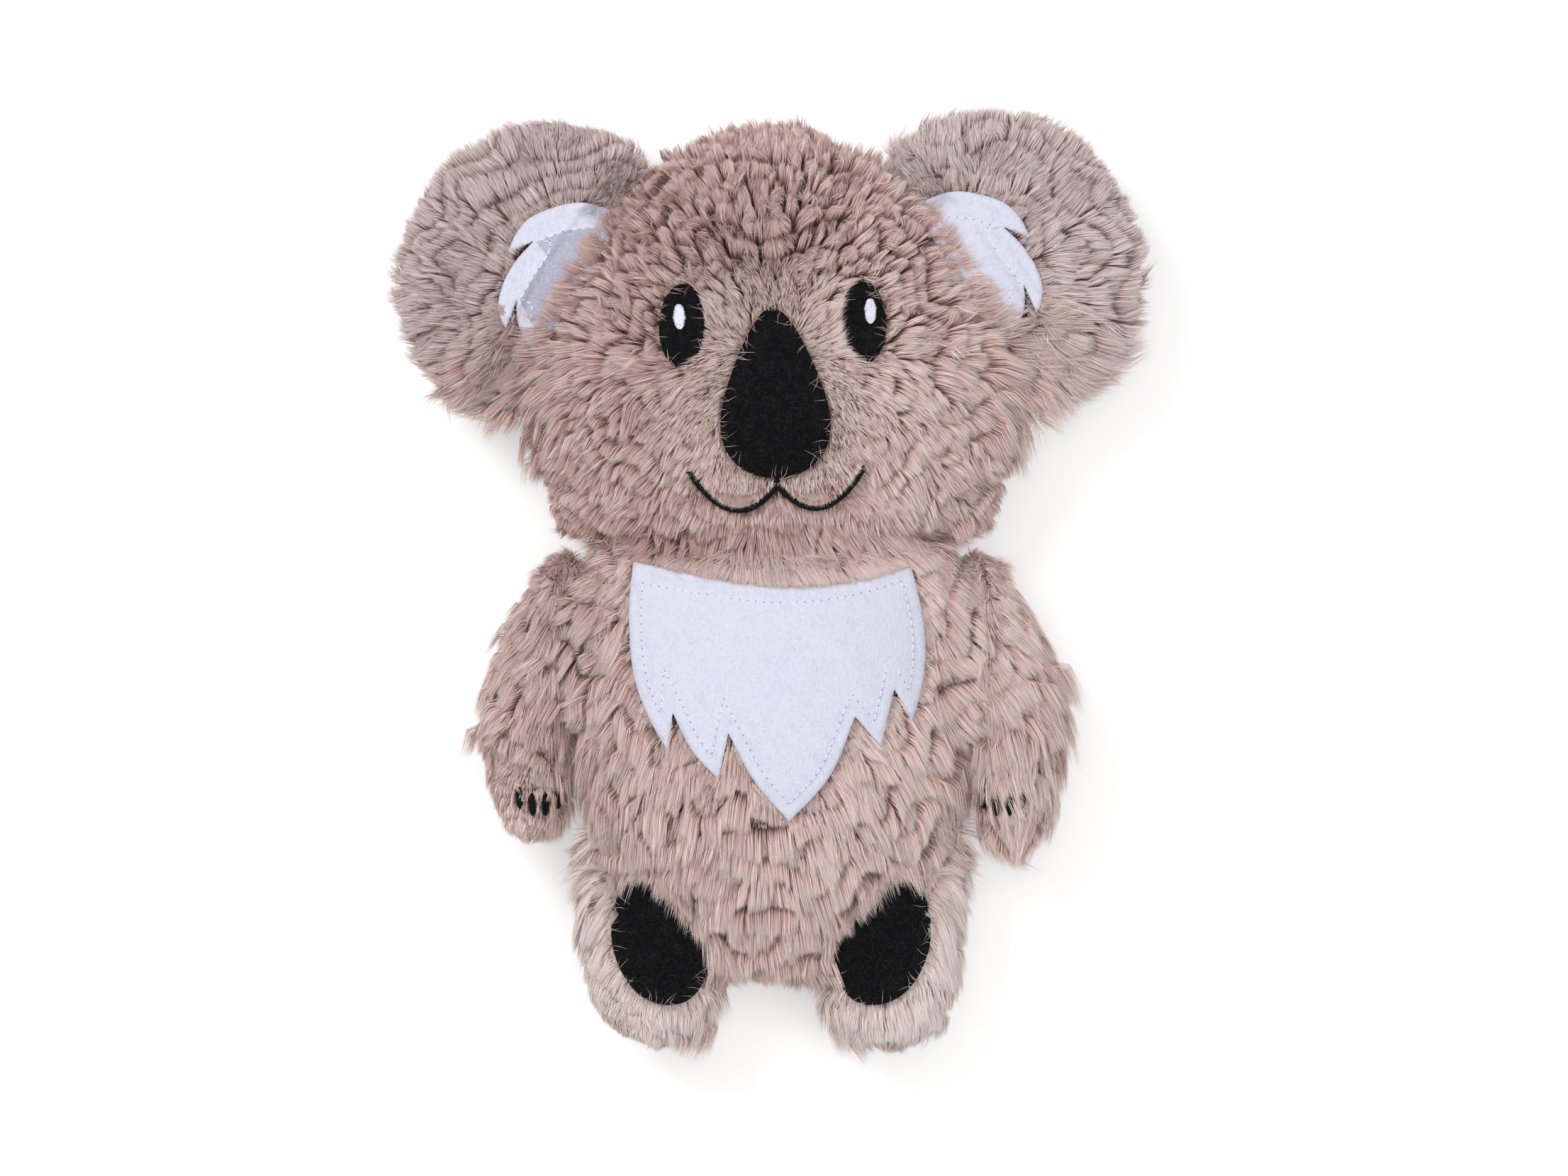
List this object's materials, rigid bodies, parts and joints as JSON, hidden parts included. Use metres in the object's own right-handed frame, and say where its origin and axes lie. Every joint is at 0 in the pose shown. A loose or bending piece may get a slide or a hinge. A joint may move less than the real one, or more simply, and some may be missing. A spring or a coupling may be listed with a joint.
{
  "type": "plush koala",
  "caption": "Soft stuffed koala lying on its back, with large round ears, felt eyes, nose, chest bib and foot pads, and limbs sewn on at bending seams.",
  "frame": {"origin": "on the surface that the toy lies on, below the middle of its outline", "axes": "+Y towards the top of the head, +Z out of the face and belly, +X to the toy's own left"},
  "size_m": [0.2867, 0.3642, 0.0836],
  "materials": {
    "fur": "long dusty pink-brown pile in tufts",
    "fibre": "loose white polyester fibre",
    "white_felt": "soft white felt",
    "black_felt": "soft black felt",
    "white_thread": "satin stitch in white thread",
    "black_thread": "satin stitch in black thread"
  },
  "bodies": {
    "torso": {"torso_front_cover": "fur", "torso_back_cover": "fur", "torso_stuffing": "fibre", "chest_bib": "white_felt"},
    "head": {"head_front_cover": "fur", "head_back_cover": "fur", "head_stuffing": "fibre", "left_eye": "black_felt", "right_eye": "black_felt", "left_eye_glint": "white_thread", "right_eye_glint": "white_thread", "nose": "black_felt", "mouth_stitching": "black_thread"},
    "left_ear": {"left_ear_front_cover": "fur", "left_ear_back_cover": "fur", "left_ear_stuffing": "fibre", "left_inner_ear": "white_felt"},
    "right_ear": {"right_ear_front_cover": "fur", "right_ear_back_cover": "fur", "right_ear_stuffing": "fibre", "right_inner_ear": "white_felt"},
    "left_arm": {"left_arm_front_cover": "fur", "left_arm_back_cover": "fur", "left_arm_stuffing": "fibre", "left_claw_1": "black_thread", "left_claw_2": "black_thread", "left_claw_3": "black_thread", "left_claw_4": "black_thread"},
    "right_arm": {"right_arm_front_cover": "fur", "right_arm_back_cover": "fur", "right_arm_stuffing": "fibre", "right_claw_1": "black_thread", "right_claw_2": "black_thread", "right_claw_3": "black_thread", "right_claw_4": "black_thread"},
    "left_leg": {"left_leg_front_cover": "fur", "left_leg_back_cover": "fur", "left_leg_stuffing": "fibre", "left_foot_pad": "black_felt"},
    "right_leg": {"right_leg_front_cover": "fur", "right_leg_back_cover": "fur", "right_leg_stuffing": "fibre", "right_foot_pad": "black_felt"}
  },
  "joints": [
    {"name": "head_nod", "type": "hinge", "parent": "torso", "child": "head", "pos_m": [0.0005, 0.0186, 0.037], "axis": [1, 0, 0], "range_deg": [-12, 25], "stiffness_Nm_per_rad": 0.3},
    {"name": "left_ear_fold", "type": "hinge", "parent": "head", "child": "left_ear", "pos_m": [0.08442, 0.1185, 0.037], "axis": [0.5823, -0.813, 0], "range_deg": [-20, 50], "stiffness_Nm_per_rad": 0.06},
    {"name": "right_ear_fold", "type": "hinge", "parent": "head", "child": "right_ear", "pos_m": [-0.0842, 0.11349, 0.037], "axis": [0.533, 0.8461, 0], "range_deg": [-20, 50], "stiffness_Nm_per_rad": 0.06},
    {"name": "left_arm_fold", "type": "hinge", "parent": "torso", "child": "left_arm", "pos_m": [0.079, -0.0204, 0.037], "axis": [0, -1, 0], "range_deg": [-20, 50], "stiffness_Nm_per_rad": 0.06},
    {"name": "right_arm_fold", "type": "hinge", "parent": "torso", "child": "right_arm", "pos_m": [-0.078, -0.0204, 0.037], "axis": [0, 1, 0], "range_deg": [-20, 50], "stiffness_Nm_per_rad": 0.06},
    {"name": "left_leg_fold", "type": "hinge", "parent": "torso", "child": "left_leg", "pos_m": [0.04498, -0.12968, 0.037], "axis": [-0.6462, -0.7632, 0], "range_deg": [-20, 45], "stiffness_Nm_per_rad": 0.06},
    {"name": "right_leg_fold", "type": "hinge", "parent": "torso", "child": "right_leg", "pos_m": [-0.04398, -0.12968, 0.037], "axis": [-0.6462, 0.7632, 0], "range_deg": [-20, 45], "stiffness_Nm_per_rad": 0.06}
  ]
}
